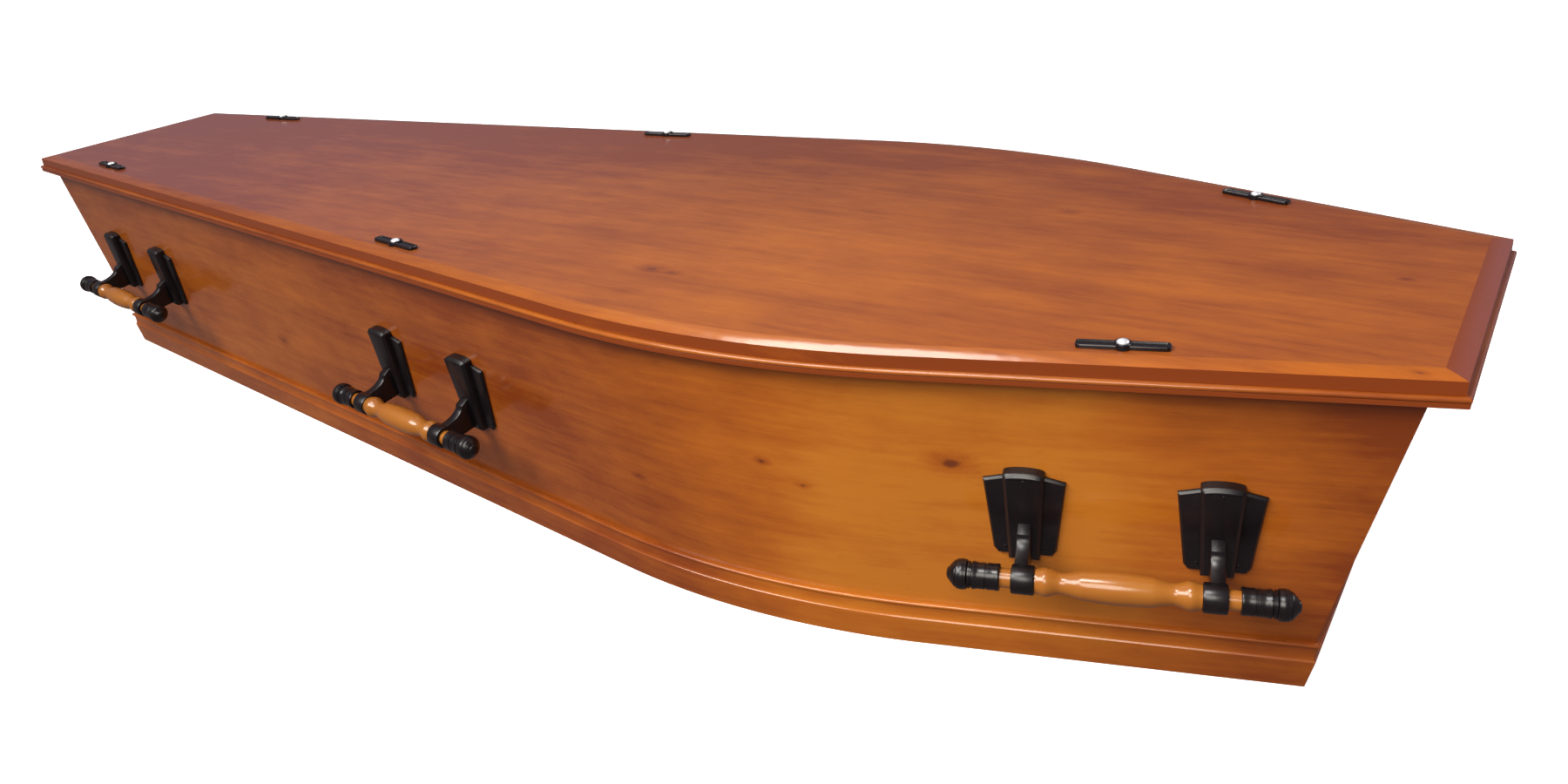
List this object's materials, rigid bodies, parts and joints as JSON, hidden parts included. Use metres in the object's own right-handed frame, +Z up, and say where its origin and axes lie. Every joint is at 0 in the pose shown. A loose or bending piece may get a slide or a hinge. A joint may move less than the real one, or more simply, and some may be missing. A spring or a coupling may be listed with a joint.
{
  "type": "wooden coffin",
  "caption": "Flat-lidded pine coffin with bent shoulders, leaning sides, plinth and lid mouldings, turned bar handles on black brackets and slim lid fittings.",
  "frame": {"origin": "on the floor, under the middle of the lid", "axes": "+X to the head end, +Z up, -Y to the side nearest the camera in the picture"},
  "size_m": [1.99, 0.6446, 0.3224],
  "materials": {
    "stained_pine": "honey-orange stain under satin varnish",
    "turned_wood": "glossy varnish",
    "black_metal": "satin black",
    "bright_metal": "polished"
  },
  "bodies": {
    "root": {"base_board": "stained_pine", "side_board_near": "stained_pine", "side_board_far": "stained_pine", "end_board_foot": "stained_pine", "end_board_head": "stained_pine", "plinth_near": "stained_pine", "plinth_far": "stained_pine", "plinth_foot": "stained_pine", "plinth_head": "stained_pine", "lid_panel": "stained_pine", "lid_moulding_near": "stained_pine", "lid_moulding_far": "stained_pine", "lid_moulding_foot": "stained_pine", "lid_moulding_head": "stained_pine", "handle_near_foot_bar": "turned_wood", "handle_near_foot_bracket_left": "black_metal", "handle_near_foot_cap_left": "black_metal", "handle_near_foot_bracket_right": "black_metal", "handle_near_foot_cap_right": "black_metal", "lid_fitting_near_foot_plate": "black_metal", "lid_fitting_near_foot_screw": "bright_metal", "handle_near_middle_bar": "turned_wood", "handle_near_middle_bracket_left": "black_metal", "handle_near_middle_cap_left": "black_metal", "handle_near_middle_bracket_right": "black_metal", "handle_near_middle_cap_right": "black_metal", "lid_fitting_near_middle_plate": "black_metal", "lid_fitting_near_middle_screw": "bright_metal", "handle_near_head_bar": "turned_wood", "handle_near_head_bracket_left": "black_metal", "handle_near_head_cap_left": "black_metal", "handle_near_head_bracket_right": "black_metal", "handle_near_head_cap_right": "black_metal", "lid_fitting_near_head_plate": "black_metal", "lid_fitting_near_head_screw": "bright_metal", "handle_far_foot_bar": "turned_wood", "handle_far_foot_bracket_left": "black_metal", "handle_far_foot_cap_left": "black_metal", "handle_far_foot_bracket_right": "black_metal", "handle_far_foot_cap_right": "black_metal", "lid_fitting_far_foot_plate": "black_metal", "lid_fitting_far_foot_screw": "bright_metal", "handle_far_middle_bar": "turned_wood", "handle_far_middle_bracket_left": "black_metal", "handle_far_middle_cap_left": "black_metal", "handle_far_middle_bracket_right": "black_metal", "handle_far_middle_cap_right": "black_metal", "lid_fitting_far_middle_plate": "black_metal", "lid_fitting_far_middle_screw": "bright_metal", "handle_far_head_bar": "turned_wood", "handle_far_head_bracket_left": "black_metal", "handle_far_head_cap_left": "black_metal", "handle_far_head_bracket_right": "black_metal", "handle_far_head_cap_right": "black_metal", "lid_fitting_far_head_plate": "black_metal", "lid_fitting_far_head_screw": "bright_metal"}
  },
  "joints": []
}
